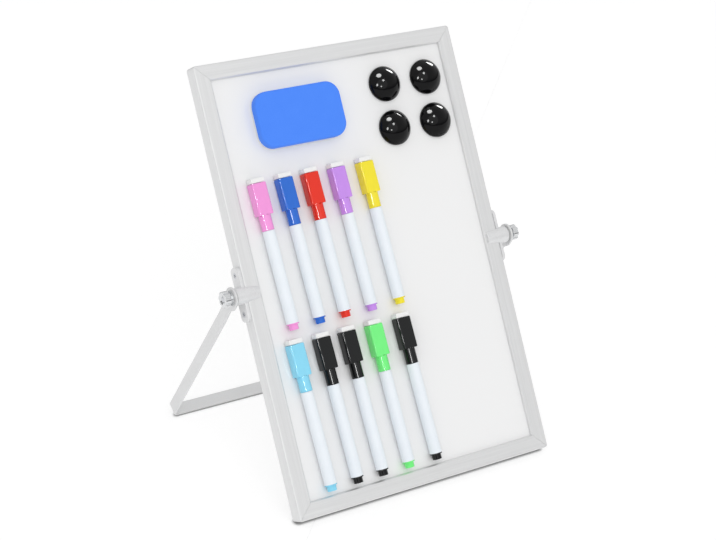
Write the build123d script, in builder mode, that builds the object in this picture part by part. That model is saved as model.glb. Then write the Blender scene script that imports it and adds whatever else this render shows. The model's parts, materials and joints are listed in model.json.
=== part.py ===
from build123d import *
import math
import os

# Desktop magnetic whiteboard easel with its markers, eraser and button magnets.
#
# A mitred aluminium frame holds a double-sided panel, a clip on each side carries the pivot of a
# bent U-shaped strap stand, and a thumb knob on each pivot locks the lean. Everything else sits on
# the writing surface by magnets.
#
# Millimetres and degrees. X runs along the width, the board leans back towards +Y, +Z is up and
# the desk is at Z = 0. Places on the board are given from the centre of the frame's front face:
# x to the right, y up the board and z out of its front.

os.makedirs("parts", exist_ok=True)

# ---- Driving dimensions ----------------------------------------------------------------------

# Frame
board_width = 203.0
board_height = 305.0
board_lean = 35.0               # of the board, from the vertical
frame_face = 11.0               # width of a rail seen from the front
frame_depth = 11.0
edge_round = 1.2
corner_round = 2.0
lip_bevel = 0.8                 # along the rail's inner edge
rail_wall = 1.1
cavity_width = 3.3              # hollow behind the outer wall, for the corner keys
channel_web = 1.0               # between that hollow and the panel's channel
mitre_gap = 0.1
key_leg = 20.0
key_clearance = 0.1

# Panel
panel_thickness = 6.0
sheet_thickness = 0.4
panel_clearance = 0.1

# Pivot clips
pivot_depth = 3.0               # of the pivot axis behind the frame's front face
hub_radius = 5.8
hub_length = 7.6                # out from the frame's side
jaw_reach = 9.8                 # over the face of the rail
jaw_tip_radius = 5.0
jaw_round = 0.6
plate_length = 36.6
plate_width = 10.4
plate_thickness = 2.4
plate_corner = 3.6
plate_round = 0.6
plate_rise = 0.5                # of the plate's middle above the pivot
screw_pitch = 26.0
screw_radius = 1.1
screw_head_radius = 2.1
screw_length = 5.6
screw_clearance = 0.05

# Pivot bolts, washers and knobs
bolt_radius = 2.0
bolt_head_radius = 3.4
bolt_head_height = 1.5
bolt_end_inset = 0.6            # of its end inside the knob's face
bolt_chamfer = 0.4
bolt_fit = 0.05
running_fit = 0.1
washer_radius = 4.8
washer_thickness = 0.8
face_gap = 0.1                  # between flat faces that turn on each other
knob_radius = 5.5
knob_height = 4.3
knob_neck_radius = 3.9
knob_neck_height = 2.0
knob_flange_radius = 5.1        # at the foot of the neck, against the stand
knob_flange_height = 0.9
knob_lobes = 8
knob_scallop_radius = 1.35
knob_round = 0.5
knob_dish_radius = 3.3
knob_dish_depth = 0.7

# Stand
arm_length = 141.5              # from the pivot to the middle of the base bar
arm_splay = 5.0                 # outwards of each arm, from its neck to the base bar
strap_width = 9.0
strap_thickness = 1.6
strap_round = 0.4
bend_radius = 4.0               # of the strap's middle line
eye_radius = 7.2
eye_drop = 3.0                  # the eye is this much longer than round, down the arm
neck_length = 19.0
neck_fillet = 5.0

# What sits on the board
seat_gap = 0.1                  # left under every piece held by a magnet

# Eraser
eraser_from_left = 67.8         # its middle, from the board's left edge
eraser_from_top = 44.4
eraser_width = 65.0
eraser_height = 36.6
eraser_corner = 10.0
foam_thickness = 6.0
foam_round = 1.4
felt_thickness = 2.4
felt_inset = 0.4
eraser_magnet_size = (34.0, 14.0, 2.0)

# Button magnets
magnets_from_right = 44.7       # middle of the four, from the board's right edge
magnets_from_top = 48.4
magnet_pitch = (33.9, 30.9)
dome_radius = 12.2
dome_height = 9.0
dome_rim = 1.6
disc_radius = 8.0
disc_thickness = 3.0
pocket_clearance = 0.1

# Markers: their middles, from the board's left edge and from its top or bottom edge
first_column = 26.0
second_column = 46.5
third_column = 66.3
fourth_column = 87.4
fifth_column = 109.8
upper_row = 132.7
lower_row = 63.8
marker_tilt = 1.5

# Along a marker's axis, from its tail end
tail_radius = 3.2
tail_length = 3.6
flange_length = 0.8
spigot_length = 4.5
barrel_radius = 4.2
barrel_length = 62.8
barrel_wall = 1.0
nose_radius = 3.2
nose_length = 8.0
nose_wall = 0.9
cone_length = 4.0
cone_tip_radius = 1.8
nib_radius = 1.1
nib_length = 3.2                # past the cone
nib_root = 5.0                  # inside the nose
collar_radius = 4.15
collar_length = 10.5
block_length = 21.5
block_width = 11.0
block_height = 8.4
block_corner = 1.4
block_round = 0.6
cap_bore_slack = 1.2            # past the nib
cap_magnet_size = (6.0, 11.0, 1.4)
cap_magnet_margin = 2.4         # from the end of the block
pad_length = 3.5
pad_inset = 0.4
glue_line = 0.05                # under the felt pad
fit_gap = 0.08                  # radial, between pushed-together plastic pieces

# ---- Planes and heights ----------------------------------------------------------------------

lean = math.radians(board_lean)
front = Vector(0, -math.cos(lean), math.sin(lean))
uphill = Vector(0, math.sin(lean), math.cos(lean))

# The frame stands on its rounded lower back edge. In Y the origin lies midway between the lowest
# front edge and the highest back edge, which are rounded too.
foot_height = edge_round + (frame_depth - edge_round) * front.Z - edge_round * uphill.Z
foremost = edge_round * (uphill.Y - front.Y - 1)
rearmost = (board_height - edge_round) * uphill.Y - (frame_depth - edge_round) * front.Y + edge_round
lower_front_edge = Vector(0, -(foremost + rearmost) / 2, foot_height)

board = Plane(
    origin=lower_front_edge + uphill * board_height / 2,
    x_dir=(1, 0, 0),
    z_dir=front,
)
pivot = board.from_local_coords((0, 0, -pivot_depth))

# The arm's angle from the vertical follows from the pivot's height: the lower edge of the base
# bar, half a strap further down and forward, is to touch the desk.
reach_down = arm_length + strap_thickness / 2
arm_angle = math.acos(pivot.Z / math.hypot(reach_down, strap_width / 2))
arm_angle += math.atan2(strap_width / 2, reach_down)
up_the_arm = Vector(0, -math.sin(arm_angle), math.cos(arm_angle))
stand_plane = Plane(
    origin=pivot,
    x_dir=(1, 0, 0),
    z_dir=(0, -math.cos(arm_angle), -math.sin(arm_angle)),
)

recess = (frame_depth - panel_thickness) / 2
channel_floor = rail_wall + cavity_width + channel_web
panel_width = board_width - 2 * (channel_floor + panel_clearance)
panel_height = board_height - 2 * (channel_floor + panel_clearance)
core_thickness = panel_thickness - 2 * sheet_thickness

washer_start = hub_length
eye_start = washer_start + washer_thickness + face_gap
knob_start = eye_start + strap_thickness + face_gap
knob_end = knob_start + knob_neck_height + knob_height
bolt_end = knob_end - bolt_end_inset
arm_offset = board_width / 2 + eye_start + strap_thickness / 2
base_offset = arm_offset + arm_splay

sides = {"left": -1, "right": 1}


def save(piece, name):
    """Label a finished piece and write it as a STEP file."""
    piece.part.label = name
    export_step(piece.part, f"parts/{name}.step")


def axle_plane(side, reach):
    """Plane across the pivot axis, `reach` out from the frame's side, facing away from the board."""
    centre = board.from_local_coords((side * (board_width / 2 + reach), 0, -pivot_depth))
    return Plane(origin=centre, x_dir=uphill, z_dir=(side, 0, 0))


def seat(place, height, turn=0.0):
    """Plane parallel to the writing surface, `height` above it, turned about its normal."""
    x, y = place
    return Plane(board.location * Location((x, y, height - recess), (0, 0, turn)))


# ---- Frame -----------------------------------------------------------------------------------

# One ring of hollow section, with a channel that the panel slides into, cut into four at 45 degrees
with BuildPart() as ring:
    with BuildSketch(board):
        RectangleRounded(board_width, board_height, corner_round)
        Rectangle(board_width - 2 * frame_face, board_height - 2 * frame_face, mode=Mode.SUBTRACT)
    extrude(amount=-frame_depth)
    ring_faces = ring.faces().filter_by(Axis(board.origin, front)).sort_by(Axis(board.origin, front))
    outer_edges = ring_faces[0].outer_wire().edges() + ring_faces[-1].outer_wire().edges()
    inner_edges = ring_faces[0].inner_wires().edges() + ring_faces[-1].inner_wires().edges()
    fillet(outer_edges, edge_round)
    chamfer(inner_edges, lip_bevel)
    with BuildSketch(board.offset(panel_clearance - recess)):
        Rectangle(board_width - 2 * channel_floor, board_height - 2 * channel_floor)
    extrude(amount=-panel_thickness - 2 * panel_clearance, mode=Mode.SUBTRACT)
    with BuildSketch(board.offset(-rail_wall)):
        Rectangle(board_width - 2 * rail_wall, board_height - 2 * rail_wall)
        inner_wall = rail_wall + cavity_width
        Rectangle(board_width - 2 * inner_wall, board_height - 2 * inner_wall, mode=Mode.SUBTRACT)
    extrude(amount=2 * rail_wall - frame_depth, mode=Mode.SUBTRACT)


def mitre(across, up, towards_side):
    """Cutting plane through a corner of the frame, facing the side rail or the cross rail."""
    corner = board.from_local_coords((across * board_width / 2, up * board_height / 2, 0))
    normal = (board.x_dir * across - board.y_dir * up).normalized()
    if not towards_side:
        normal = -normal
    return Plane(origin=corner + normal * mitre_gap / 2, z_dir=normal)


for word, side in sides.items():
    with BuildPart() as side_rail:
        add(ring.part)
        split(bisect_by=mitre(side, 1, True), keep=Keep.TOP)
        split(bisect_by=mitre(side, -1, True), keep=Keep.TOP)
        with Locations(axle_plane(side, 0)):
            with Locations((plate_rise, side * (pivot_depth - frame_depth / 2))):
                with GridLocations(screw_pitch, 0, 2, 1):
                    Hole(screw_radius + screw_clearance, depth=rail_wall + cavity_width / 2)
    save(side_rail, f"frame_{word}")

for word, up in (("top", 1), ("bottom", -1)):
    with BuildPart() as cross_rail:
        add(ring.part)
        split(bisect_by=mitre(-1, up, False), keep=Keep.TOP)
        split(bisect_by=mitre(1, up, False), keep=Keep.TOP)
    save(cross_rail, f"frame_{word}")

# L-shaped keys in the hollow of the rails hold the mitred corners together
key_width = cavity_width - 2 * key_clearance
key_height = frame_depth - 2 * rail_wall - 2 * key_clearance
with BuildPart() as corner_keys:
    with BuildSketch(board.offset(-(frame_depth - key_height) / 2)):
        key_inset = rail_wall + key_clearance
        with Locations((board_width / 2 - key_inset, board_height / 2 - key_inset)):
            Rectangle(key_leg, key_width, align=(Align.MAX, Align.MAX))
            Rectangle(key_width, key_leg, align=(Align.MAX, Align.MAX))
        mirror(about=Plane.YZ)
        mirror(about=Plane.XZ)
    extrude(amount=-key_height)
save(corner_keys, "corner_keys")

# ---- Panel -----------------------------------------------------------------------------------

layers = (
    ("front_sheet", 0, sheet_thickness),
    ("core_panel", sheet_thickness, core_thickness),
    ("back_sheet", sheet_thickness + core_thickness, sheet_thickness),
)
for name, depth, thickness in layers:
    with BuildPart() as layer:
        with BuildSketch(board.offset(-recess - depth)):
            Rectangle(panel_width, panel_height)
        extrude(amount=-thickness)
    save(layer, name)

# ---- Pivot clips -----------------------------------------------------------------------------

plate_middle = pivot_depth - frame_depth / 2    # of the plate in front of the pivot axis

for word, side in sides.items():
    # A tapered half-round jaw lies over the rail's face and grows out of the hub, which stands on
    # a plate screwed to the side of the rail
    with BuildPart() as clip:
        with BuildSketch(axle_plane(side, 0)):
            Circle(hub_radius)
        with BuildSketch(axle_plane(side, -jaw_reach)):
            Circle(jaw_tip_radius)
        loft()
        split(bisect_by=board, keep=Keep.TOP)
        jaw_tip = clip.faces().sort_by(Axis(board.origin, (side, 0, 0)))[0]
        fillet(jaw_tip.edges().filter_by(GeomType.CIRCLE), jaw_round)
        with BuildSketch(axle_plane(side, 0)):
            with Locations((plate_rise, side * plate_middle)):
                RectangleRounded(plate_length, plate_width, plate_corner)
        extrude(amount=plate_thickness)
        plate_face = clip.faces().sort_by(Axis(board.origin, (side, 0, 0)))[-1]
        fillet(plate_face.edges(), plate_round)
        with BuildSketch(axle_plane(side, 0)):
            Circle(hub_radius)
        extrude(amount=hub_length)
        with BuildSketch(axle_plane(side, 0)):
            RegularPolygon(bolt_head_radius + bolt_fit, 6)
        extrude(amount=bolt_head_height + face_gap, mode=Mode.SUBTRACT)
        with Locations(axle_plane(side, hub_length)):
            Hole(bolt_radius + bolt_fit, depth=hub_length)
        with Locations(axle_plane(side, plate_thickness)):
            with Locations((plate_rise, side * plate_middle)):
                with GridLocations(screw_pitch, 0, 2, 1):
                    CounterSinkHole(
                        screw_radius + screw_clearance,
                        screw_head_radius + screw_clearance,
                        depth=plate_thickness,
                        counter_sink_angle=90,
                    )
    save(clip, f"pivot_clip_{word}")

# Countersunk screws through the plates into the rails
with BuildPart() as clip_screws:
    for side in sides.values():
        for step in (-0.5, 0.5):
            head = axle_plane(side, plate_thickness).from_local_coords(
                (plate_rise + step * screw_pitch, side * plate_middle, 0)
            )
            with BuildSketch(Plane(origin=head, x_dir=uphill, z_dir=front * side)):
                with BuildLine():
                    Polyline(
                        (0, 0),
                        (screw_head_radius, 0),
                        (screw_radius, screw_head_radius - screw_radius),
                        (screw_radius, screw_length),
                        (0, screw_length),
                        close=True,
                    )
                make_face()
            revolve(axis=Axis(head, (side, 0, 0)))
save(clip_screws, "clip_screws")

# ---- Pivot bolts, washers and thumb knobs ----------------------------------------------------

for word, side in sides.items():
    with BuildPart() as bolt:
        with BuildSketch(axle_plane(side, 0)):
            RegularPolygon(bolt_head_radius, 6)
        extrude(amount=bolt_head_height)
        with BuildSketch(axle_plane(side, bolt_head_height)):
            Circle(bolt_radius)
        extrude(amount=bolt_end - bolt_head_height)
        bolt_tip = bolt.faces().sort_by(Axis(board.origin, (side, 0, 0)))[-1]
        chamfer(bolt_tip.edges(), bolt_chamfer)
    save(bolt, f"pivot_bolt_{word}")

with BuildPart() as washers:
    for side in sides.values():
        with BuildSketch(axle_plane(side, washer_start)):
            Circle(washer_radius)
            Circle(bolt_radius + running_fit, mode=Mode.SUBTRACT)
        extrude(amount=washer_thickness)
save(washers, "friction_washers")

for word, side in sides.items():
    # A flange against the stand, a neck and a scalloped head, dished round the bolt's end
    with BuildPart() as knob:
        with BuildSketch(axle_plane(side, knob_start + knob_neck_height)):
            Circle(knob_radius)
            with PolarLocations(knob_radius + knob_scallop_radius / 2, knob_lobes):
                Circle(knob_scallop_radius, mode=Mode.SUBTRACT)
        extrude(amount=knob_height)
        knob_faces = knob.faces().filter_by(Axis.X)
        fillet(knob_faces[0].edges() + knob_faces[1].edges(), knob_round)
        with BuildSketch(axle_plane(side, knob_start)):
            Circle(knob_neck_radius)
        extrude(amount=knob_neck_height)
        with BuildSketch(axle_plane(side, knob_start)):
            Circle(knob_flange_radius)
        extrude(amount=knob_flange_height)
        with Locations(axle_plane(side, knob_end)):
            CounterSinkHole(
                bolt_radius + bolt_fit,
                knob_dish_radius,
                depth=knob_neck_height + knob_height,
                counter_sink_angle=2 * math.degrees(
                    math.atan((knob_dish_radius - bolt_radius) / knob_dish_depth)
                ),
            )
    save(knob, f"thumb_knob_{word}")

# ---- Stand -----------------------------------------------------------------------------------

# One flat strap bent into a U whose arms splay below their necks. Each arm ends in a round eye
# that turns on the pivot bolt.
with BuildPart() as stand:
    for side in sides.values():
        inner_face = pivot + Vector(side * (board_width / 2 + eye_start), 0, 0)
        with BuildSketch(Plane(origin=inner_face, x_dir=up_the_arm, z_dir=(side, 0, 0))) as eye:
            Circle(eye_radius)
            with Locations((-eye_drop, 0)):
                Circle(eye_radius)
            Rectangle(eye_drop, 2 * eye_radius, align=(Align.MAX, Align.CENTER))
            Rectangle(neck_length, strap_width, align=(Align.MAX, Align.CENTER))
            shoulders = eye.vertices().filter_by(lambda point: -neck_length < point.X < -eye_drop)
            fillet(shoulders, neck_fillet)
        extrude(amount=strap_thickness)
    neck_ends = stand.faces().filter_by(Axis(pivot, up_the_arm))
    outline = stand.faces().filter_by(Axis.X).edges() - neck_ends.edges()
    fillet(outline, strap_round)
    with BuildLine(stand_plane) as route:
        FilletPolyline(
            (-arm_offset, -neck_length),
            (-arm_offset, -neck_length - bend_radius),
            (-base_offset, -arm_length),
            (base_offset, -arm_length),
            (arm_offset, -neck_length - bend_radius),
            (arm_offset, -neck_length),
            radius=bend_radius,
        )
    with BuildSketch(Plane(origin=route.line @ 0, x_dir=(1, 0, 0), z_dir=route.line % 0)):
        RectangleRounded(strap_thickness, strap_width, strap_round)
    sweep(path=route.line)
    for side in sides.values():
        with Locations(axle_plane(side, eye_start + strap_thickness)):
            Hole(bolt_radius + running_fit, depth=strap_thickness)
save(stand, "u_stand")

# ---- Eraser ----------------------------------------------------------------------------------

eraser_place = (eraser_from_left - board_width / 2, board_height / 2 - eraser_from_top)
magnet_x, magnet_y, magnet_z = eraser_magnet_size
with BuildPart() as foam:
    with BuildSketch(seat(eraser_place, seat_gap + felt_thickness)):
        RectangleRounded(eraser_width, eraser_height, eraser_corner)
    extrude(amount=foam_thickness)
    fillet(foam.faces().sort_by(Axis(board.origin, front))[-1].edges(), foam_round)
    with BuildSketch(seat(eraser_place, seat_gap + felt_thickness)):
        Rectangle(magnet_x + 2 * pocket_clearance, magnet_y + 2 * pocket_clearance)
    extrude(amount=magnet_z + pocket_clearance, mode=Mode.SUBTRACT)
save(foam, "eraser_foam")

with BuildPart() as felt:
    with BuildSketch(seat(eraser_place, seat_gap)):
        RectangleRounded(
            eraser_width - 2 * felt_inset, eraser_height - 2 * felt_inset, eraser_corner - felt_inset
        )
    extrude(amount=felt_thickness)
save(felt, "eraser_felt")

with BuildPart() as eraser_magnet:
    with BuildSketch(seat(eraser_place, seat_gap + felt_thickness)):
        Rectangle(magnet_x, magnet_y)
    extrude(amount=magnet_z)
save(eraser_magnet, "eraser_magnet")

# ---- Button magnets --------------------------------------------------------------------------

# The dome is part of a sphere above a short straight rim
cap_rise = dome_height - dome_rim
sphere_radius = (dome_radius**2 + cap_rise**2) / (2 * cap_rise)
magnet_names = ("1", "2", "3", "4")
magnets_x = board_width / 2 - magnets_from_right
magnets_y = board_height / 2 - magnets_from_top
magnet_spots = [
    (magnets_x + i * magnet_pitch[0] / 2, magnets_y + j * magnet_pitch[1] / 2)
    for j in (1, -1)
    for i in (-1, 1)
]
for name, place in zip(magnet_names, magnet_spots):
    base = seat(place, seat_gap)
    upright = Plane(origin=base.origin, x_dir=(1, 0, 0), z_dir=-uphill)
    with BuildPart() as dome:
        with BuildSketch(upright):
            with BuildLine():
                Polyline(
                    (0, dome_height),
                    (0, disc_thickness + pocket_clearance),
                    (disc_radius + pocket_clearance, disc_thickness + pocket_clearance),
                    (disc_radius + pocket_clearance, 0),
                    (dome_radius, 0),
                    (dome_radius, dome_rim),
                )
                RadiusArc((dome_radius, dome_rim), (0, dome_height), -sphere_radius)
            make_face()
        revolve(axis=Axis(base.origin, front))
    save(dome, f"button_magnet_{name}")
    with BuildPart() as disc:
        with BuildSketch(base):
            Circle(disc_radius)
        extrude(amount=disc_thickness)
    save(disc, f"magnet_disc_{name}")

# ---- Markers ---------------------------------------------------------------------------------

marker_names = (
    ("pink", "blue", "red", "purple", "yellow"),
    ("sky", "black_1", "black_2", "green", "black_3"),
)
columns = (first_column, second_column, third_column, fourth_column, fifth_column)
marker_columns = [column - board_width / 2 for column in columns]
marker_rows = (board_height / 2 - upper_row, lower_row - board_height / 2)
axis_height = seat_gap + block_height / 2
flange_end = tail_length + flange_length
shoulder = flange_end + barrel_length
nose_end = shoulder + nose_length
cone_end = nose_end + cone_length
nib_end = cone_end + nib_length
block_start = shoulder + collar_length
block_end = block_start + block_length
chamber_radius = barrel_radius - barrel_wall
throat_radius = nose_radius - nose_wall
throat_start = shoulder - barrel_wall
nib_start = nose_end - nib_root
reservoir_start = flange_end + spigot_length + fit_gap
reservoir_end = throat_start - fit_gap


def station(line, distance):
    """Plane across a marker's axis, `distance` from its tail end and facing its cap."""
    centre = line.from_local_coords((0, distance - block_end / 2, 0))
    return Plane(origin=centre, x_dir=line.x_dir, z_dir=line.y_dir)


def turned(line, points):
    """Solid of revolution about a marker's axis, from (radius, distance) points."""
    with BuildSketch(line) as profile:
        with BuildLine():
            Polyline([(radius, distance - block_end / 2) for radius, distance in points], close=True)
        make_face()
    revolve(profile.sketch, axis=Axis(line.origin, line.y_dir))


for row, names in zip(marker_rows, marker_names):
    for column, name in zip(marker_columns, names):
        line = seat((column, row), axis_height, marker_tilt)

        # Tail plug: a narrow button, a flange against the barrel and a spigot inside it
        with BuildPart() as plug:
            turned(
                line,
                (
                    (0, 0),
                    (tail_radius, 0),
                    (tail_radius, tail_length),
                    (barrel_radius, tail_length),
                    (barrel_radius, flange_end),
                    (chamber_radius - fit_gap, flange_end),
                    (chamber_radius - fit_gap, flange_end + spigot_length),
                    (0, flange_end + spigot_length),
                ),
            )
        save(plug, f"{name}_plug")

        # Barrel with its nose and cone, the ink reservoir inside it and the nib
        with BuildPart() as barrel:
            turned(
                line,
                (
                    (chamber_radius, flange_end),
                    (barrel_radius, flange_end),
                    (barrel_radius, shoulder),
                    (nose_radius, shoulder),
                    (nose_radius, nose_end),
                    (cone_tip_radius, cone_end),
                    (nib_radius + fit_gap, cone_end),
                    (nib_radius + fit_gap, nose_end),
                    (throat_radius, nose_end),
                    (throat_radius, throat_start),
                    (chamber_radius, throat_start),
                ),
            )
            with BuildSketch(station(line, reservoir_start)):
                Circle(chamber_radius - fit_gap)
            extrude(amount=reservoir_end - reservoir_start)
            with BuildSketch(station(line, nib_start)):
                Circle(nib_radius)
            extrude(amount=nib_end - nib_start)
        save(barrel, f"{name}_barrel")

        # Cap: a round collar that pushes over the nose, and a flat-sided block with the magnet in
        # the side that meets the board and a felt pad on its end
        with BuildPart() as cap:
            with BuildSketch(station(line, block_start)):
                RectangleRounded(block_width, block_height, block_corner)
            extrude(amount=block_length)
            block_ends = cap.faces().filter_by(Axis(line.origin, line.y_dir))
            fillet(block_ends[0].edges() + block_ends[1].edges(), block_round)
            with BuildSketch(station(line, shoulder + face_gap)):
                Circle(collar_radius)
            extrude(amount=collar_length - face_gap + block_round)
            with BuildSketch(station(line, shoulder)):
                Circle(nose_radius + fit_gap)
            extrude(amount=nib_end + cap_bore_slack - shoulder, mode=Mode.SUBTRACT)
            length_middle = block_end - cap_magnet_margin - cap_magnet_size[1] / 2
            under = line.offset(-block_height / 2)
            with BuildSketch(under):
                with Locations((0, length_middle - block_end / 2)):
                    Rectangle(
                        cap_magnet_size[0] + 2 * pocket_clearance,
                        cap_magnet_size[1] + 2 * pocket_clearance,
                    )
            extrude(amount=cap_magnet_size[2] + pocket_clearance, mode=Mode.SUBTRACT)
            with BuildSketch(under):
                with Locations((0, length_middle - block_end / 2)):
                    Rectangle(cap_magnet_size[0], cap_magnet_size[1])
            extrude(amount=cap_magnet_size[2])
            with BuildSketch(station(line, block_end + glue_line)):
                RectangleRounded(
                    block_width - 2 * pad_inset, block_height - 2 * pad_inset, block_corner - pad_inset
                )
            extrude(amount=pad_length)
        save(cap, f"{name}_cap")
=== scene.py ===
import json
import math

import bmesh
import bpy
from mathutils import Matrix, Vector

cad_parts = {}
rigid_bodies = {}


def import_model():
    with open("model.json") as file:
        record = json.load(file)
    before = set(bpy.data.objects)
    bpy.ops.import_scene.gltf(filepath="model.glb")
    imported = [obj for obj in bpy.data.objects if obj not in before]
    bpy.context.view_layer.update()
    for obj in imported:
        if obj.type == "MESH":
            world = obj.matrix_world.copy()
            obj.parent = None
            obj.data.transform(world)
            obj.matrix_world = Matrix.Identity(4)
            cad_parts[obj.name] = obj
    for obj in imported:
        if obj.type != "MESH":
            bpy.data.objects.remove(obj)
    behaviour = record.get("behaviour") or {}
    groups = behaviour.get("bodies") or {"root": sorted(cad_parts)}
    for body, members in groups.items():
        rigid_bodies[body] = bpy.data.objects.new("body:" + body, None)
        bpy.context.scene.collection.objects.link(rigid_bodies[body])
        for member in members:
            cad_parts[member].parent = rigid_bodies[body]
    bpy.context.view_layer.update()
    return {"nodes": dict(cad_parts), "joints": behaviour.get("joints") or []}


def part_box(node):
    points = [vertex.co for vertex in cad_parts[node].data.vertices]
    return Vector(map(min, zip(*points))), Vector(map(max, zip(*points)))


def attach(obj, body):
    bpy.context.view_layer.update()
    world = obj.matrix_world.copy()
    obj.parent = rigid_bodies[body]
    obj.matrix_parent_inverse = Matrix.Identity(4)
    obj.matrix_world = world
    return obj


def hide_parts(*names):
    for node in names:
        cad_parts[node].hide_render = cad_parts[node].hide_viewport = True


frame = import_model()

# ---- Frame rails -----------------------------------------------------------------------------
# Four lengths of extruded aluminium section, satin anodised, mitred at 45 degrees and held by
# nylon keys in their hollow. The die leaves faint lines along each rail.


class Value:
    """A node's output that takes part in sums; each sum adds a Math node to its tree."""

    def __init__(self, tree, socket):
        self.tree = tree
        self.socket = socket

    def __getitem__(self, name):
        return Value(self.tree, find(self.socket.node.outputs, name))

    def math(self, operation, *terms):
        return self.tree.node("ShaderNodeMath", {"operation": operation}, dict(enumerate(terms)))

    def __add__(self, other):
        return self.math("ADD", self, other)

    def __radd__(self, other):
        return self.math("ADD", other, self)

    def __sub__(self, other):
        return self.math("SUBTRACT", self, other)

    def __rsub__(self, other):
        return self.math("SUBTRACT", other, self)

    def __mul__(self, other):
        return self.math("MULTIPLY", self, other)

    def __rmul__(self, other):
        return self.math("MULTIPLY", other, self)

    def __truediv__(self, other):
        return self.math("DIVIDE", self, other)

    def __gt__(self, other):
        return self.math("GREATER_THAN", self, other)


def find(sockets, name):
    """A socket by its number, or the live one of that name or identifier."""
    if isinstance(name, int):
        return sockets[name]
    wanted = name.lower()
    return next(s for s in sockets if s.enabled and wanted in (s.name.lower(), s.identifier.lower()))


class Tree:
    """A node tree being wired. One method adds any node: its settings first, then its inputs."""

    def __init__(self, tree):
        self.nodes = tree.nodes
        self.links = tree.links

    def node(self, kind, settings=None, sockets=None, output=0):
        made = self.nodes.new(kind)
        for name, value in (settings or {}).items():
            if name == "stops":
                ends = made.color_ramp.elements
                while len(ends) < len(value):
                    ends.new(1.0)
                for end, (place, grey) in zip(ends, value):
                    end.position = place
                    end.color = (grey, grey, grey, 1)
            else:
                setattr(made, name, value)
        self.feed(made, sockets or {})
        return Value(self, find(made.outputs, output)) if made.outputs else made

    def feed(self, made, sockets):
        for name, value in sockets.items():
            socket = find(made.inputs, name)
            for each in value if isinstance(value, list) else [value]:
                if isinstance(each, Value):
                    self.links.new(each.socket, socket)
                else:
                    socket.default_value = each


class Finish(Tree):
    """A material. What is the same all over is set on the shader's own sockets."""

    def __init__(self, name, **constants):
        self.material = bpy.data.materials.new(name)
        self.material.use_nodes = True
        super().__init__(self.material.node_tree)
        self.shader = self.nodes["Principled BSDF"]
        self.set({name.replace("_", " "): value for name, value in constants.items()})

    def set(self, sockets):
        colours = {k: (*v, 1) for k, v in sockets.items() if isinstance(v, tuple) and len(v) == 3}
        self.feed(self.shader, {**sockets, **colours})

    def place(self):
        """Object coordinates, in metres."""
        return self.node("ShaderNodeTexCoord", None, None, "Object")

    def stretch(self, place, x, y, z):
        """Coordinates multiplied by a factor for each axis."""
        return self.node("ShaderNodeVectorMath", {"operation": "MULTIPLY"}, {0: place, 1: (x, y, z)})

    def noise(self, place, scale, detail=2.0, roughness=0.5):
        """Soft noise from 0 to 1 with about `scale` lumps to the metre."""
        sizes = {"Vector": place, "Scale": scale, "Detail": detail, "Roughness": roughness}
        return self.node("ShaderNodeTexNoise", None, sizes)

    def ramp(self, value, *stops):
        return self.node("ShaderNodeValToRGB", {"stops": stops}, {"Fac": value})

    def mix(self, factor, first, second):
        """A colour between two, given as three numbers or as links."""
        pair = [(*c, 1) if isinstance(c, tuple) else c for c in (first, second)]
        inputs = {"Factor_Float": factor, "A_Color": pair[0], "B_Color": pair[1]}
        return self.node("ShaderNodeMix", {"data_type": "RGBA"}, inputs, "Result_Color")

    def bump(self, height, distance):
        """Relief: `height` from 0 to 1 stands for `distance` metres."""
        relief = {"Height": height, "Distance": distance}
        self.set({"Normal": self.node("ShaderNodeBump", None, relief)})


def dress(material, *nodes):
    """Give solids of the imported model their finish."""
    for name in nodes:
        slots = frame["nodes"][name].data.materials
        slots.clear()
        slots.append(material)


# The board leans back from the vertical: the ways out of its front and up its face
lean = math.radians(35)
front = Vector((0, -math.cos(lean), math.sin(lean)))
uphill = Vector((0, math.sin(lean), math.cos(lean)))


def board_place(finish):
    """Coordinates turned to the board: x across it, y up it and z out of its front."""
    turn = {"Vector": finish.place(), "Rotation": (lean - math.pi / 2, 0, 0)}
    return finish.node("ShaderNodeMapping", {"vector_type": "POINT"}, turn)


# How far the die's lines are drawn out along a rail
drawn_out = 0.012

for name, along, rails in (
    ("anodised_side_rails", (1.0, drawn_out, 1.0), ("frame_left", "frame_right")),
    ("anodised_cross_rails", (drawn_out, 1.0, 1.0), ("frame_top", "frame_bottom")),
):
    aluminium = Finish(name, metallic=0.7, specular_ior_level=0.4)
    place = board_place(aluminium)
    drawn = aluminium.stretch(place, *along)
    die_lines = aluminium.noise(drawn, 2600, 3, 0.6)
    broad_lines = aluminium.noise(drawn, 420, 1)
    handling = aluminium.ramp(aluminium.noise(place, 55, 4, 0.6), (0.42, 0), (0.75, 1))
    grain = aluminium.noise(place, 5200, 1)
    tone = die_lines * 0.6 + broad_lines * 0.4
    aluminium.set(
        {
            "Base Color": aluminium.mix(tone, (0.67, 0.673, 0.676), (0.87, 0.873, 0.876)),
            "Roughness": 0.42 + die_lines * 0.12 + handling * 0.06,
        }
    )
    aluminium.bump(die_lines * 0.7 + grain * 0.3, 0.000018)
    dress(aluminium.material, *rails)

nylon = Finish("natural_nylon", base_color=(0.74, 0.74, 0.72))
nylon.set({"Roughness": 0.5 + nylon.noise(nylon.place(), 900) * 0.15})
nylon.bump(nylon.noise(nylon.place(), 2400, 3), 0.00003)
dress(nylon.material, "corner_keys")

# ---- Panel -----------------------------------------------------------------------------------
# Two thin steel sheets with a baked white lacquer that dry-wipe ink doesn't bite into, bonded to
# a fibreboard core. Wiping leaves the gloss very slightly uneven.

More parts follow.
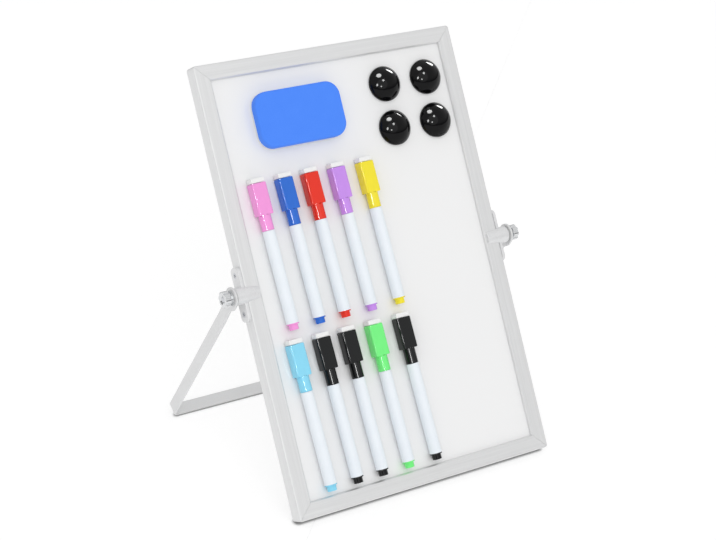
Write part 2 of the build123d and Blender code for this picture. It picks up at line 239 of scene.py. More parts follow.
lacquer = Finish(
    "white_lacquer", base_color=(0.885, 0.886, 0.888), coat_weight=0.35, coat_roughness=0.08
)
place = board_place(lacquer)
wiped = lacquer.noise(lacquer.stretch(place, 1.0, 0.22, 1.0), 90, 4, 0.62)
peel = lacquer.noise(place, 520, 1)
lacquer.set({"Roughness": 0.17 + lacquer.ramp(wiped, (0.4, 0), (0.8, 1)) * 0.07})
lacquer.bump(peel, 0.000012)
dress(lacquer.material, "front_sheet", "back_sheet")

fibreboard = Finish("fibreboard", roughness=0.85)
fibres = fibreboard.noise(fibreboard.stretch(board_place(fibreboard), 1, 1, 6), 800, 5, 0.7)
fibreboard.set({"Base Color": fibreboard.mix(fibres, (0.38, 0.27, 0.16), (0.62, 0.48, 0.33))})
fibreboard.bump(fibres, 0.0001)
dress(fibreboard.material, "core_panel")

# ---- Pivot clips and bolts -------------------------------------------------------------------
# Each clip is moulded in one piece from silver-filled plastic, with metal flake in it and a fine
# spark texture on its faces. A plated bolt is captive in its hub, and a nylon washer rides on it.

silver = Finish("silver_moulding", metallic=0.3, coat_weight=0.3, coat_roughness=0.2)
place = silver.place()
cells = {"Vector": place, "Scale": 3800.0}
flake = silver.node("ShaderNodeTexVoronoi", None, cells, "Color")
sparkle = silver.node("ShaderNodeSeparateColor", None, {"Color": flake})
flow = silver.noise(place, 140, 2)
tone = sparkle * 0.55 + flow * 0.45
silver.set(
    {
        "Base Color": silver.mix(tone, (0.66, 0.663, 0.67), (0.82, 0.823, 0.83)),
        "Roughness": 0.34 + silver.noise(place, 1500) * 0.12,
    }
)
silver.bump(silver.noise(place, 2600, 2), 0.000014)
dress(silver.material, "pivot_clip_left", "pivot_clip_right")

plating = Finish("zinc_plating", metallic=1.0)
place = plating.place()
spangle = plating.noise(place, 1800, 3)
turning = plating.noise(plating.stretch(place, 12, 1, 1), 700, 1)
plating.set(
    {
        "Base Color": plating.mix(spangle, (0.50, 0.51, 0.54), (0.72, 0.73, 0.75)),
        "Roughness": 0.22 + turning * 0.16,
    }
)
plating.bump(turning, 0.00001)
dress(plating.material, "pivot_bolt_left", "pivot_bolt_right")
dress(nylon.material, "friction_washers")

# ---- Clip screws -----------------------------------------------------------------------------
# Four small countersunk screws with a cross recess hold the clips to the side rails. Their heads
# lie flush with the plates.

screw_head_radius = 0.0021
screw_radius = 0.0011
screw_length = 0.0056
screw_recess = (0.0026, 0.00052, 0.0009)
screw_sides = 40
screw_pitch = 0.026
board_width = 0.203
plate_thickness = 0.0024
plate_face = board_width / 2 + plate_thickness
plate_rise = 0.0005  # of a clip plate's middle above the pivot
plate_depth = 0.0025  # of that middle behind the pivot
pivot = Vector(next(j["pos_m"] for j in frame["joints"] if j["name"] == "stand_tilt"))

# Points nearer than a weld become one, and edges shorter than a sliver go
weld = 0.000004
sliver = 0.000002


class Maker(Tree):
    """A Geometry Nodes tree whose inputs are named sizes."""

    def __init__(self, name, **sizes):
        self.group = bpy.data.node_groups.new(name, "GeometryNodeTree")
        kinds = {float: "NodeSocketFloat", int: "NodeSocketInt", tuple: "NodeSocketVector"}
        self.keys = {}
        self.sizes = sizes
        self.group.interface.new_socket("Geometry", in_out="INPUT", socket_type="NodeSocketGeometry")
        for label, value in sizes.items():
            kind = kinds.get(type(value), "NodeSocketMaterial")
            made = self.group.interface.new_socket(label, in_out="INPUT", socket_type=kind)
            self.keys[label] = made.identifier
        self.group.interface.new_socket("Geometry", in_out="OUTPUT", socket_type="NodeSocketGeometry")
        super().__init__(self.group)
        self.given = self.node("NodeGroupInput")

    def out(self, geometry):
        """End the tree: instances made real, and the material set."""
        real = self.node("GeometryNodeRealizeInstances", None, {"Geometry": geometry})
        coated = self.node(
            "GeometryNodeSetMaterial", None, {"Geometry": real, "Material": self.given["material"]}
        )
        self.node("NodeGroupOutput", None, {"Geometry": coated})

    def make(self, name, points, edges, body, place=None, crease=35.0, **sizes):
        """Run the tree on a seed of points and edges, and keep the result as a plain mesh."""
        seed = bpy.data.meshes.new(name)
        seed.from_pydata(points, edges, [])
        host = bpy.data.objects.new(name, seed)
        bpy.context.scene.collection.objects.link(host)
        modifier = host.modifiers.new("maker", "NODES")
        modifier.node_group = self.group
        for label, value in {**self.sizes, **sizes}.items():
            modifier[self.keys[label]] = value
        host.update_tag()
        evaluated = host.evaluated_get(bpy.context.evaluated_depsgraph_get())
        mesh = bpy.data.meshes.new_from_object(evaluated)
        host.modifiers.clear()
        host.data = mesh
        bpy.data.meshes.remove(seed)
        mesh.name = name
        close_up(mesh, crease)
        mesh.transform(place or Matrix.Identity(4))
        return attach(host, body)


def close_up(mesh, crease):
    """Merge doubles, turn the faces outwards and keep edges sharper than `crease` degrees."""
    form = bmesh.new()
    form.from_mesh(mesh)
    bmesh.ops.remove_doubles(form, verts=form.verts, dist=weld)
    bmesh.ops.dissolve_degenerate(form, dist=sliver, edges=form.edges)
    bmesh.ops.recalc_face_normals(form, faces=form.faces)
    form.to_mesh(mesh)
    form.free()
    mesh.shade_smooth()
    mesh.set_sharp_from_angle(angle=math.radians(crease))


screws = Maker(
    "countersunk_screws",
    head_radius=screw_head_radius,
    shank_radius=screw_radius,
    length=screw_length,
    recess=screw_recess,
    material=plating.material,
)
given = screws.given
taper = given["head_radius"] - given["shank_radius"]
head = screws.node(
    "GeometryNodeMeshCone",
    None,
    {
        "Vertices": screw_sides,
        "Radius Top": given["head_radius"],
        "Radius Bottom": given["shank_radius"],
        "Depth": taper,
    },
)
down = screws.node("ShaderNodeCombineXYZ", None, {"Z": 0.0 - taper})
head = screws.node("GeometryNodeTransform", None, {"Geometry": head, "Translation": down})
shank_length = given["length"] - taper
shank = screws.node(
    "GeometryNodeMeshCylinder",
    None,
    {"Vertices": screw_sides, "Radius": given["shank_radius"], "Depth": shank_length},
)
down = screws.node("ShaderNodeCombineXYZ", None, {"Z": 0.0 - taper - shank_length / 2})
shank = screws.node("GeometryNodeTransform", None, {"Geometry": shank, "Translation": down})

# The cross recess is one slot cut twice, the second time a quarter turn round
slot_box = screws.node("GeometryNodeMeshCube", None, {"Size": given["recess"]})
quarter = {"Geometry": slot_box, "Rotation": (0, 0, math.pi / 2)}
cross = screws.node("GeometryNodeTransform", None, quarter)
cut = {"Mesh 1": head, "Mesh 2": [slot_box, cross]}
cut = screws.node("GeometryNodeMeshBoolean", {"operation": "DIFFERENCE"}, cut)

# Each screw faces out of the side of the board that it is on
spot = screws.node("ShaderNodeSeparateXYZ", None, {0: screws.node("GeometryNodeInputPosition")})
outward = screws.node("ShaderNodeCombineXYZ", None, {"X": spot.math("SIGN", spot)})
facing = screws.node("FunctionNodeAlignRotationToVector", {"axis": "Z"}, {"Vector": outward})
placed = screws.node(
    "GeometryNodeInstanceOnPoints",
    None,
    {
        "Points": given["Geometry"],
        "Instance": screws.node("GeometryNodeJoinGeometry", None, {"Geometry": [cut, shank]}),
        "Rotation": facing,
    },
)
screws.out(placed)
spots = [
    pivot
    + Vector((side * plate_face, 0, 0))
    + uphill * (plate_rise + step * screw_pitch)
    - front * plate_depth
    for side in (-1, 1)
    for step in (-0.5, 0.5)
]
screw_set = screws.make("countersunk_screws", spots, [], "board")
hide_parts("clip_screws")

# ---- Thumb knobs -----------------------------------------------------------------------------
# Scalloped knobs, cast and chrome plated, that screw onto the bolts and clamp the stand. Fingers
# dull the plating a little.

chrome = Finish("chrome_plate", metallic=1.0, base_color=(0.70, 0.71, 0.72))
place = chrome.place()
touched = chrome.ramp(chrome.noise(place, 420, 4, 0.65), (0.45, 0), (0.72, 1))
chrome.set({"Roughness": 0.05 + touched * 0.1})
chrome.bump(chrome.noise(place, 700, 2), 0.00001)
dress(chrome.material, "thumb_knob_left", "thumb_knob_right")

# ---- Stand -----------------------------------------------------------------------------------
# One flat steel strap bent into a U, with a round eye at the end of each arm. It is sprayed with
# satin silver paint, which dries with a faint orange peel.

paint = Finish("satin_silver_paint", metallic=0.4, coat_weight=0.2, coat_roughness=0.3)
place = paint.place()
cells = {"Vector": place, "Scale": 5200.0}
flake = paint.node("ShaderNodeTexVoronoi", None, cells, "Color")
sparkle = paint.node("ShaderNodeSeparateColor", None, {"Color": flake})
coverage = paint.noise(place, 60, 3)
tone = sparkle * 0.4 + coverage * 0.6
paint.set(
    {
        "Base Color": paint.mix(tone, (0.66, 0.663, 0.667), (0.78, 0.783, 0.787)),
        "Roughness": 0.38 + coverage * 0.1,
    }
)
paint.bump(paint.noise(place, 850, 1), 0.00003)
dress(paint.material, "u_stand")

# ---- Eraser ----------------------------------------------------------------------------------
# A block of blue closed-cell foam with a pad of pressed white felt glued under it. A flat magnet
# between them holds it to the board.

sheet_thickness = 0.0004
writing_surface = sum(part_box("front_sheet"), Vector()) / 2 + front * sheet_thickness / 2


def board_spot(x, y, z=0.0, turn=0.0):
    """Placing matrix on the writing surface: x across, y up the board, z out, turned about z."""
    axes = Matrix((Vector((1, 0, 0)), uphill, front)).transposed().to_4x4()
    centre = Matrix.Translation(writing_surface + Vector((x, 0, 0)) + uphill * y + front * z)
    return centre @ axes @ Matrix.Rotation(turn, 4, "Z")


def rounded_outline(width, height, corner, steps=9):
    """Points round a rectangle with rounded corners, anticlockwise."""
    points = []
    for quarter, (across, up) in enumerate(((1, 1), (-1, 1), (-1, -1), (1, -1))):
        for step in range(steps + 1):
            angle = math.pi / 2 * (quarter + step / steps)
            x = across * (width / 2 - corner) + corner * math.cos(angle)
            y = up * (height / 2 - corner) + corner * math.sin(angle)
            points.append((x, y))
    return points


def soft_slab(name, width, height, corner, rings, body, place):
    """A slab built up from outlines, given as (inset, level) from its bottom to its top."""
    form = bmesh.new()
    loops = []
    for inset, level in rings:
        outline = rounded_outline(width - 2 * inset, height - 2 * inset, corner - inset)
        loops.append([form.verts.new((x, y, level)) for x, y in outline])
    for lower, upper in zip(loops, loops[1:]):
        for i, j in zip(range(len(lower)), [*range(1, len(lower)), 0]):
            form.faces.new((lower[i], lower[j], upper[j], upper[i]))
    form.faces.new(reversed(loops[0]))
    form.faces.new(loops[-1])
    mesh = bpy.data.meshes.new(name)
    form.to_mesh(mesh)
    form.free()
    close_up(mesh, crease=50)
    mesh.transform(place)
    slab = bpy.data.objects.new(name, mesh)
    bpy.context.scene.collection.objects.link(slab)
    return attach(slab, body)


eraser_place = (-0.0335, 0.1087)
eraser_size = (0.0656, 0.0380)
eraser_corner = 0.010
felt_thickness = 0.0024
foam_thickness = 0.006
foam_round = 0.0014
foam_round_steps = 8
foam_bulge = 0.0001
foam_crown = ((0.0026, 0.00006), (0.0045, 0.00012), (0.0070, 0.00016), (0.0096, 0.00018))
seat_gap = 0.0001  # left under every piece that a magnet holds to the board

foam = Finish("blue_foam", specular_ior_level=0.2, sheen_weight=0.04)
place = foam.place()
cells = {"Vector": place, "Scale": 2300.0}
pores = foam.node("ShaderNodeTexVoronoi", {"feature": "SMOOTH_F1"}, cells)
fine_pores = foam.node("ShaderNodeTexVoronoi", None, {"Vector": place, "Scale": 5200.0})
clouds = foam.noise(place, 120, 3)
foam.set(
    {
        "Base Color": foam.mix(pores * 0.6 + clouds * 0.5, (0.062, 0.235, 0.95), (0.088, 0.28, 1.0)),
        "Roughness": 0.62 + clouds * 0.12,
    }
)
foam.bump(pores * 0.65 + fine_pores * 0.35, 0.00005)

# The sides swell a little, the upper edge is eased, and the top is slightly crowned
edge = foam_thickness - foam_round
rings = [(0.0, 0.0), (-foam_bulge, 0.0012), (-foam_bulge, 0.0030), (0.0, edge)]
for step in range(1, foam_round_steps + 1):
    angle = math.pi / 2 * step / foam_round_steps
    level = foam_thickness - foam_round * (1 - math.sin(angle))
    rings.append((foam_round * (1 - math.cos(angle)), level))
rings += [(inset, foam_thickness + rise) for inset, rise in foam_crown]
spot = board_spot(*eraser_place, seat_gap + felt_thickness)
eraser_block = soft_slab("eraser_block", *eraser_size, eraser_corner, rings, "eraser", spot)
eraser_block.data.materials.append(foam.material)
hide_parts("eraser_foam")

felt = Finish("white_felt", sheen_weight=0.3, specular_ior_level=0.1)
place = felt.place()
tangle = felt.noise(place, 900, 4, 0.7)
threads = felt.noise(felt.stretch(place, 1.0, 3.5, 1.0), 1700, 3, 0.65)
loose = felt.noise(felt.stretch(place, 3.2, 1.0, 1.4), 1500, 3, 0.65)
nap = tangle * 0.4 + threads * 0.3 + loose * 0.3
felt.set(
    {
        "Base Color": felt.mix(nap, (0.80, 0.805, 0.80), (0.975, 0.975, 0.97)),
        "Roughness": 0.86 + tangle * 0.12,
    }
)
felt.bump(nap, 0.00025)

# The cut edge of the felt is drawn in where it meets the board, and less where it meets the foam
rings = [
    (0.0009, 0.0),
    (0.0006, 0.0003),
    (0.0004, 0.0009),
    (0.0004, 0.0018),
    (0.0006, felt_thickness),
]
spot = board_spot(*eraser_place, seat_gap)
eraser_pad = soft_slab("eraser_pad", *eraser_size, eraser_corner, rings, "eraser", spot)
eraser_pad.data.materials.append(felt.material)
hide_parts("eraser_felt")

ferrite = Finish("ferrite")
place = ferrite.place()
sinter = ferrite.noise(place, 1600, 5, 0.7)
ferrite.set(
    {
        "Base Color": ferrite.mix(sinter, (0.035, 0.035, 0.038), (0.10, 0.10, 0.105)),
        "Roughness": 0.5 + sinter * 0.25,
    }
)
ferrite.bump(sinter, 0.00004)
dress(ferrite.material, "eraser_magnet")

# ---- Button magnets --------------------------------------------------------------------------
# Four domes moulded in glossy black plastic, each with a short straight rim and a ferrite disc
# let into its underside.

black_gloss = Finish("black_gloss", base_color=(0.0025, 0.0025, 0.003), specular_ior_level=0.16)
place = black_gloss.place()
rubbed = black_gloss.noise(place, 260, 4, 0.6)
black_gloss.set({"Roughness": 0.085 + black_gloss.ramp(rubbed, (0.5, 0), (0.8, 1)) * 0.06})
black_gloss.bump(black_gloss.noise(place, 180, 1), 0.00002)


# A lathe's axle has to be a ring, so it is one too small to measure, and its points are welded
axle_radius = 0.000001
lathe_sides = 64


def turned_outline(maker, seed, ease, around):
    """Ease an outline's corners and turn it about Z; its points are (radius, minus the height)."""
    outline = maker.node("GeometryNodeMeshToCurve", None, {"Mesh": seed})
    eased = {"Curve": outline, "Count": 3, "Radius": ease, "Limit Radius": True}
    eased = maker.node("GeometryNodeFilletCurve", {"mode": "POLY"}, eased)
    axle = {"Resolution": around, "Radius": axle_radius}
    axle = maker.node("GeometryNodeCurvePrimitiveCircle", None, axle)
    turned = maker.node("GeometryNodeCurveToMesh", None, {"Curve": axle, "Profile Curve": eased})
    turned = maker.node("GeometryNodeFlipFaces", None, {"Mesh": turned})
    return maker.node("GeometryNodeMergeByDistance", None, {"Geometry": turned, "Distance": weld})


def with_own_place(maker, geometry):
    """Keep each point's place on the piece itself, for patterns that follow it."""
    here = maker.node("GeometryNodeInputPosition")
    named = {"Geometry": geometry, "Name": "own_place", "Value": here}
    return maker.node("GeometryNodeStoreNamedAttribute", {"data_type": "FLOAT_VECTOR"}, named)


lathe = Maker("lathe", edge_round=0.0002, around=lathe_sides, material=black_gloss.material)
given = lathe.given
turned = turned_outline(lathe, given["Geometry"], given["edge_round"], given["around"])
lathe.out(with_own_place(lathe, turned))


def outline_seed(outline, closed=False):
    """The points and edges to turn, from (radius, distance along the axis) pairs."""
    points = [(radius, -along, 0) for radius, along in outline]
    edges = [(i, i + 1) for i in range(len(points) - 1)]
    if closed:
        edges.append((len(points) - 1, 0))
    return points, edges


def turn_on_lathe(name, outline, body, place, closed=False, **sizes):
    """A turned piece, from its outline."""
    return lathe.make(name, *outline_seed(outline, closed), body, place, **sizes)


dome_radius = 0.0122
dome_height = 0.009
dome_rim = 0.0016
dome_steps = 40
dome_sides = 144
disc_pocket = (0.0081, 0.0031)  # radius and depth
magnet_middle = (0.0568, 0.1041)
magnet_pitch = (0.0339, 0.0309)

# The dome is a cap of a sphere on its straight rim
rise = dome_height - dome_rim
sphere = (dome_radius**2 + rise**2) / (2 * rise)
sweep = math.asin(dome_radius / sphere)
dome_outline = [(0, disc_pocket[1]), disc_pocket, (disc_pocket[0], 0), (dome_radius, 0)]
for step in range(dome_steps + 1):
    angle = sweep * (1 - step / dome_steps)
    level = dome_height - sphere * (1 - math.cos(angle))
    dome_outline.append((sphere * math.sin(angle), level))
magnet_spots = [(i, j) for j in (0.5, -0.5) for i in (-0.5, 0.5)]
for number, (i, j) in enumerate(magnet_spots, 1):
    x = magnet_middle[0] + i * magnet_pitch[0]
    y = magnet_middle[1] + j * magnet_pitch[1]
    spot = board_spot(x, y, seat_gap)
    dome = turn_on_lathe(
        f"dome_{number}", dome_outline, f"magnet_{number}", spot, around=dome_sides
    )
    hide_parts(f"button_magnet_{number}")
    dress(ferrite.material, f"magnet_disc_{number}")

# ---- Markers ---------------------------------------------------------------------------------
# Ten mini dry-wipe markers. A thin white barrel holds the ink rod, a coloured plug closes its
# tail, and a coloured cap with a flat-sided head pushes over its nose. A magnet in the head's
# underside holds the marker to the board, and a felt pad on its end wipes.

marker_columns = (-0.0755, -0.0550, -0.0352, -0.0141, 0.0083)
marker_rows = (0.0198, -0.0887)
marker_tilt = math.radians(1.5)
tail_radius = 0.0032
tail_length = 0.0036
flange_length = 0.0008
spigot_length = 0.0045
barrel_radius = 0.0042
barrel_length = 0.0628
barrel_wall = 0.001
nose_radius = 0.0032
nose_length = 0.008
nose_wall = 0.0009
cone_length = 0.004
cone_tip_radius = 0.0018
nib_radius = 0.0011
nib_length = 0.0032
nib_root = 0.005
collar_radius = 0.00415
collar_length = 0.0105
block_length = 0.0215
block_width = 0.011
block_height = 0.0084
block_corner = 0.0014
block_round = 0.0006
bore_slack = 0.0012
bore_sides = 48
fit_gap = 0.00008
face_gap = 0.0001
glue_line = 0.00005
strip_size = (0.006, 0.011, 0.0014)
strip_margin = 0.0024
strip_ease = 0.0001
pocket_gap = 0.0002  # over the strip's width and length
pad_length = 0.0035
pad_inset = 0.0004
pad_ease = 0.0007
pad_nap = 0.00025
parting_line = 0.00012

flange_end = tail_length + flange_length
shoulder = flange_end + barrel_length
nose_end = shoulder + nose_length
cone_end = nose_end + cone_length
nib_end = cone_end + nib_length
block_start = shoulder + collar_length
block_end = block_start + block_length
chamber_radius = barrel_radius - barrel_wall
throat_radius = nose_radius - nose_wall
throat_start = shoulder - barrel_wall
strip_middle = block_end - strip_margin - strip_size[1] / 2

plug_outline = (
    (0, 0),
    (tail_radius, 0),
    (tail_radius, tail_length),
    (barrel_radius, tail_length),
    (barrel_radius, flange_end),
    (chamber_radius - fit_gap, flange_end),
    (chamber_radius - fit_gap, flange_end + spigot_length),
    (0, flange_end + spigot_length),
)
barrel_outline = (
    (chamber_radius, flange_end),
    (barrel_radius, flange_end),
    (barrel_radius, shoulder),
    (nose_radius, shoulder),
    (nose_radius, nose_end),
    (cone_tip_radius, cone_end),
    (nib_radius + fit_gap, cone_end),
    (nib_radius + fit_gap, nose_end),
    (throat_radius, nose_end),
    (throat_radius, throat_start),
    (chamber_radius, throat_start),
)
nib_outline = (
    (0, nose_end - nib_root),
    (nib_radius, nose_end - nib_root),
    (nib_radius, nib_end),
    (0, nib_end),
)

# Two extra points on the collar's straight side keep its shading even between its ends
collar_outline = (
    (0, shoulder + face_gap),
    (collar_radius, shoulder + face_gap),
    (collar_radius, shoulder + block_round),
    (collar_radius, block_start - block_round),
    (collar_radius, block_start + block_round),
    (0, block_start + block_round),
)

white_plastic = Finish("white_plastic", specular_ior_level=0.3)
own = white_plastic.node("ShaderNodeAttribute", {"attribute_name": "own_place"}, None, "Vector")
drawn = white_plastic.noise(white_plastic.stretch(own, 1, 1, 0.05), 900, 2)
clouds = white_plastic.noise(own, 90, 3)
white_plastic.set(
    {
        "Base Color": white_plastic.mix(clouds, (0.82, 0.875, 0.93), (0.87, 0.915, 0.955)),
        "Roughness": 0.28 + drawn * 0.1,
    }
)
white_plastic.bump(drawn, 0.00001)


def coloured_plastic(name, colour):
    """Glossy injection moulding: faint flow marks, and a parting line down each side."""
    plastic = Finish(name, specular_ior_level=0.34)
    own = plastic.node("ShaderNodeAttribute", {"attribute_name": "own_place"}, None, "Vector")
    flow = plastic.noise(plastic.stretch(own, 1, 1, 0.35), 260, 3)
    apart = plastic.node("ShaderNodeSeparateXYZ", None, {0: own})
    seam = plastic.ramp(apart.math("ABSOLUTE", apart["Y"]) / parting_line, (0.0, 1), (1.0, 0))
    shade = tuple(c * 0.86 for c in colour)
    plastic.set(
        {
            "Base Color": plastic.mix(flow, shade, colour),
            "Roughness": 0.04 + flow * 0.04,
        }
    )
    plastic.bump(seam * 0.8 + flow * 0.2, 0.000025)
    return plastic.material


inks = {
    "pink": (0.98, 0.35, 0.78),
    "blue": (0.026, 0.16, 0.68),
    "red": (0.86, 0.033, 0.014),
    "purple": (0.62, 0.30, 0.90),
    "yellow": (0.98, 0.83, 0.035),
    "sky": (0.28, 0.75, 0.98),
    "black": (0.004, 0.005, 0.0055),
    "green": (0.20, 0.98, 0.25),
}
plastics = {ink: coloured_plastic(f"{ink}_plastic", colour) for ink, colour in inks.items()}


def eased_bar(maker, width, height, length, corner, ease, start, steps=5):
    """A rounded rectangle swept along Z, with its end rings drawn in along their own normals."""
    section = {"Width": width, "Height": height}
    section = maker.node("GeometryNodeCurvePrimitiveQuadrilateral", {"mode": "RECTANGLE"}, section)
    section = {"Curve": section, "Count": 7, "Radius": corner, "Limit Radius": True}
    section = maker.node("GeometryNodeFilletCurve", {"mode": "POLY"}, section)

    # The path's length is of no account: it only counts the rings, which are then put in place
    count = 2 * steps + 2
    path = maker.node("GeometryNodeCurvePrimitiveLine", None, {"End": (0, 0, 0.01)})
    path = maker.node("GeometryNodeResampleCurve", None, {"Curve": path, "Count": count})
    ring = {"Geometry": path, "Name": "ring", "Value": maker.node("GeometryNodeInputIndex")}
    path = maker.node("GeometryNodeStoreNamedAttribute", {"data_type": "INT"}, ring)
    swept = {"Curve": path, "Profile Curve": section, "Fill Caps": True}
    swept = maker.node("GeometryNodeCurveToMesh", None, swept)
    ring = maker.node("GeometryNodeInputNamedAttribute", {"data_type": "INT"}, {"Name": "ring"})
    far = ring > steps + 0.5
    turn = (far * (count - 1 - 2 * ring) + ring) * (math.pi / 2 / steps)
    inset = ease * (1 - turn.math("SINE", turn))
    level = ease * (1 - turn.math("COSINE", turn))
    level = start + level + far * (length - 2 * level)
    here = maker.node("ShaderNodeSeparateXYZ", None, {0: maker.node("GeometryNodeInputPosition")})

    def past_straight(coordinate, size):
        """How far a section point lies past the straight part of its side, with its sign."""
        past = coordinate.math("ABSOLUTE", coordinate) - (size / 2 - corner)
        return past.math("MAXIMUM", past, 0.0) * coordinate.math("SIGN", coordinate)

    normal = {"X": past_straight(here, width), "Y": past_straight(here["Y"], height)}
    normal = maker.node("ShaderNodeCombineXYZ", None, normal)
    normal = maker.node("ShaderNodeVectorMath", {"operation": "NORMALIZE"}, {0: normal})
    normal = maker.node("ShaderNodeSeparateXYZ", None, {0: normal})
    spot = {"X": here - normal * inset, "Y": here["Y"] - normal["Y"] * inset, "Z": level}
    spot = maker.node("ShaderNodeCombineXYZ", None, spot)
    return maker.node("GeometryNodeSetPosition", None, {"Geometry": swept, "Position": spot})


cap_maker = Maker(
    "marker_cap",
    width=block_width,
    height=block_height,
    length=block_length,
    corner=block_corner,
    ease=block_round,
    start=block_start,
    collar_ease=0.00025,
    bore_radius=nose_radius + fit_gap,
    bore_start=shoulder,
    bore_end=nib_end + bore_slack,
    pocket=(strip_size[0] + pocket_gap, 2 * strip_size[2], strip_size[1] + pocket_gap),
    pocket_place=(0.0, block_height / 2, strip_middle),
    material=white_plastic.material,
)
given = cap_maker.given
block = eased_bar(
    cap_maker,
    *(given[size] for size in ("width", "height", "length", "corner", "ease", "start")),
)
collar = turned_outline(cap_maker, given["Geometry"], given["collar_ease"], lathe_sides)
body = cap_maker.node("GeometryNodeMeshBoolean", {"operation": "UNION"}, {"Mesh 2": [block, collar]})
reach = given["bore_end"] - given["bore_start"]
bore = {"Vertices": bore_sides, "Radius": given["bore_radius"], "Depth": reach}
bore = cap_maker.node("GeometryNodeMeshCylinder", None, bore)
middle = cap_maker.node("ShaderNodeCombineXYZ", None, {"Z": given["bore_start"] + reach / 2})
bore = cap_maker.node("GeometryNodeTransform", None, {"Geometry": bore, "Translation": middle})
pocket = cap_maker.node("GeometryNodeMeshCube", None, {"Size": given["pocket"]})
pocket = {"Geometry": pocket, "Translation": given["pocket_place"]}
pocket = cap_maker.node("GeometryNodeTransform", None, pocket)
hollow = {"Mesh 1": body, "Mesh 2": [bore, pocket]}
hollow = cap_maker.node("GeometryNodeMeshBoolean", {"operation": "DIFFERENCE"}, hollow)
cap_maker.out(with_own_place(cap_maker, hollow))

# A block with all its edges eased, and a nap where it is felt
pad_maker = Maker(
    "soft_block",
    size=(block_width - 2 * pad_inset, block_height - 2 * pad_inset, pad_length),
    middle=(0.0, 0.0, block_end + glue_line + pad_length / 2),
    ease=pad_ease,
    nap=0.0,
    material=felt.material,
)
given = pad_maker.given
grid = {"Size": given["size"], "Vertices X": 24, "Vertices Y": 22, "Vertices Z": 12}
grid = pad_maker.node("GeometryNodeMeshCube", None, grid)
here = pad_maker.node("GeometryNodeInputPosition")
half = pad_maker.node("ShaderNodeVectorMath", {"operation": "SCALE"}, {0: given["size"], "Scale": 0.5})
ease = pad_maker.node(
    "ShaderNodeCombineXYZ", None, {"X": given["ease"], "Y": given["ease"], "Z": given["ease"]}
)
core = pad_maker.node("ShaderNodeVectorMath", {"operation": "SUBTRACT"}, {0: half, 1: ease})
back = pad_maker.node("ShaderNodeVectorMath", {"operation": "SCALE"}, {0: core, "Scale": -1.0})
inner = pad_maker.node("ShaderNodeVectorMath", {"operation": "MINIMUM"}, {0: here, 1: core})
inner = pad_maker.node("ShaderNodeVectorMath", {"operation": "MAXIMUM"}, {0: inner, 1: back})
away = pad_maker.node("ShaderNodeVectorMath", {"operation": "SUBTRACT"}, {0: here, 1: inner})
away = pad_maker.node("ShaderNodeVectorMath", {"operation": "NORMALIZE"}, {0: away})
fuzz = pad_maker.node("ShaderNodeTexNoise", None, {"Scale": 1900.0, "Detail": 2.0})
reach = given["ease"] - given["nap"] * fuzz
away = pad_maker.node("ShaderNodeVectorMath", {"operation": "SCALE"}, {0: away, "Scale": reach})
spot = pad_maker.node("ShaderNodeVectorMath", {"operation": "ADD"}, {0: inner, 1: away})
spot = pad_maker.node("ShaderNodeVectorMath", {"operation": "ADD"}, {0: spot, 1: given["middle"]})
pad_maker.out(pad_maker.node("GeometryNodeSetPosition", None, {"Geometry": grid, "Position": spot}))

collar_seed = outline_seed(collar_outline)
marker_names = (
    ("pink", "blue", "red", "purple", "yellow"),
    ("sky", "black_1", "black_2", "green", "black_3"),
)
for row, names in zip(marker_rows, marker_names):
    for column, name in zip(marker_columns, names):
        ink = name.split("_")[0]
        marker, cap = f"{name}_marker", f"{name}_marker_cap"

        # A marker is made along z from its tail, and lies with its middle on its place
        spot = board_spot(column, row, seat_gap + block_height / 2, marker_tilt)
        lay = Matrix.Rotation(-math.pi / 2, 4, "X")
        spot = spot @ lay @ Matrix.Translation((0, 0, -block_end / 2))

        barrel = turn_on_lathe(
            f"{name}_tube", barrel_outline, marker, spot, True, material=white_plastic.material
        )
        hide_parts(f"{name}_barrel")
        turn_on_lathe(f"{name}_nib", nib_outline, marker, spot, material=plastics[ink])
        plug = turn_on_lathe(f"{name}_stopper", plug_outline, marker, spot, material=plastics[ink])
        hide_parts(f"{name}_plug")

        head = cap_maker.make(f"{name}_head", *collar_seed, cap, spot, material=plastics[ink])
        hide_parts(f"{name}_cap")
        pad = pad_maker.make(f"{name}_pad", [], [], cap, spot, crease=60, nap=pad_nap)
        strip = pad_maker.make(
            f"{name}_strip",
            [],
            [],
            cap,
            spot,
            size=(strip_size[0], strip_size[2], strip_size[1]),
            middle=(0.0, block_height / 2 - strip_size[2] / 2, strip_middle),
            ease=strip_ease,
            material=ferrite.material,
        )

# ---- Desk, light and camera ------------------------------------------------------------------
# A plain pale desk top under large soft lights, seen from a little above and to the left. The
# desk runs on so far that no edge of it shows. It glows evenly so that it stays white, and a
# contact shadow is painted into its colour and its glow just where the easel stands on it.

desk_reach = 200
contact_reach = 0.003

desk_top = Finish("desk_top", specular_ior_level=0.1, emission_strength=0.56)
near = {"Distance": contact_reach}
# Painted shadow: ambient occlusion within a few millimetres darkens the desk's colour and glow where
# the easel touches it
occlusion_for_painted_shadow = desk_top.node("ShaderNodeAmbientOcclusion", {"samples": 8}, near, "AO")
outside_painted_shadow = desk_top.ramp(occlusion_for_painted_shadow, (0.3, 0), (0.85, 1))
desk_top.set(
    {
        "Base Color": desk_top.mix(outside_painted_shadow, (0.16, 0.16, 0.16), (0.5, 0.5, 0.5)),
        "Emission Color": desk_top.mix(outside_painted_shadow, (0.08, 0.08, 0.08), (1.0, 1.0, 1.0)),
        "Roughness": 0.7 + desk_top.noise(desk_top.place(), 30, 2) * 0.1,
    }
)
mesh = bpy.data.meshes.new("desk")
corners = [(x * desk_reach, y * desk_reach, 0) for x, y in ((-1, -1), (1, -1), (1, 1), (-1, 1))]
mesh.from_pydata(corners, [], [(0, 1, 2, 3)])
mesh.materials.append(desk_top.material)
desk = bpy.data.objects.new("desk", mesh)
bpy.context.scene.collection.objects.link(desk)

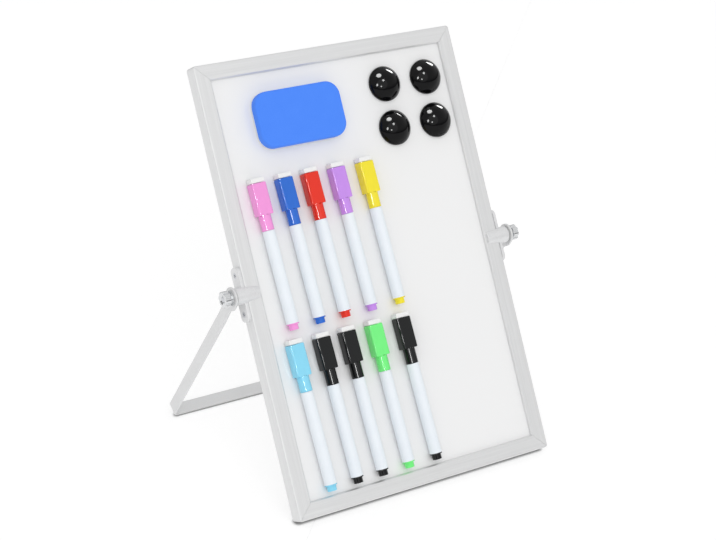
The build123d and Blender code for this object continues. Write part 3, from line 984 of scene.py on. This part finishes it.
# The room is bright overhead and dim round the horizon
room = bpy.data.worlds.new("room")
room.use_nodes = True
sky = Tree(room.node_tree)
heading = sky.node("ShaderNodeTexCoord", None, None, "Generated")
height = sky.node("ShaderNodeSeparateXYZ", None, {0: heading})["Z"]
stops = ((0.02, 0.06), (0.13, 0.55), (0.34, 1.0))
glow = sky.node("ShaderNodeValToRGB", {"stops": stops}, {"Fac": height})
sky.feed(sky.nodes["Background"], {"Color": glow, "Strength": 0.86})
bpy.context.scene.world = room
bpy.context.scene.view_settings.view_transform = "Standard"

# One wide soft light falls on everything. The others are smaller and stronger, and only make
# the catch lights in the glossy plastic of the domes, the caps and the tail plugs
catch_radiance = 45
lamp_distance = 1.9
polished = bpy.data.collections.new("polished_pieces")
for thing in bpy.context.scene.objects:
    if any(kind in thing.name for kind in ("dome", "head", "stopper")):
        polished.objects.link(thing)

# Each lamp has its heading from the easel's middle, its width and height, its radiance, and
# whether it falls on everything
middle = Vector((0, 0, 0.15))
for name, heading, size, radiance, fills in (
    ("front_softbox", (-0.35, -0.80, 0.62), (2.2, 2.2), 0.72, True),
    ("top_softbox", (-0.22, 0.08, 0.97), (0.80, 0.80), catch_radiance, False),
    ("far_softbox", (0.73, 0.45, 0.52), (0.70, 0.70), catch_radiance, False),
    ("high_catch_light", (-0.11, -0.53, 0.84), (0.38, 0.38), catch_radiance, False),
    ("left_strip_light", (-0.75, -0.50, 0.44), (0.30, 0.52), catch_radiance, False),
    ("low_catch_light", (-0.45, -0.81, 0.38), (0.25, 0.25), catch_radiance, False),
):
    lamp = bpy.data.lights.new(name, "AREA")
    lamp.shape = "ELLIPSE"
    lamp.size, lamp.size_y = size
    ellipse = math.pi * size[0] * size[1] / 4
    lamp.energy = radiance * math.pi * ellipse
    stand = bpy.data.objects.new(name, lamp)
    stand.location = middle + Vector(heading).normalized() * lamp_distance
    stand.rotation_euler = (-Vector(heading)).to_track_quat("-Z", "Y").to_euler()
    stand.visible_diffuse = fills
    if not fills:
        stand.light_linking.receiver_collection = polished
    bpy.context.scene.collection.objects.link(stand)

viewpoint = Vector((-0.6570, -0.9172, 0.7617))
view_line = Vector((0.5004, 0.7117, -0.4930)).normalized()
view_up = Vector((0.1978, 0.4604, 0.8654))
focal_length = 95.76

lens = bpy.data.cameras.new("camera")
lens.lens = focal_length
camera = bpy.data.objects.new("camera", lens)
across = view_line.cross(view_up).normalized()
axes = Matrix((across, across.cross(view_line), -view_line)).transposed().to_4x4()
camera.matrix_world = Matrix.Translation(viewpoint) @ axes
bpy.context.scene.collection.objects.link(camera)
bpy.context.scene.camera = camera
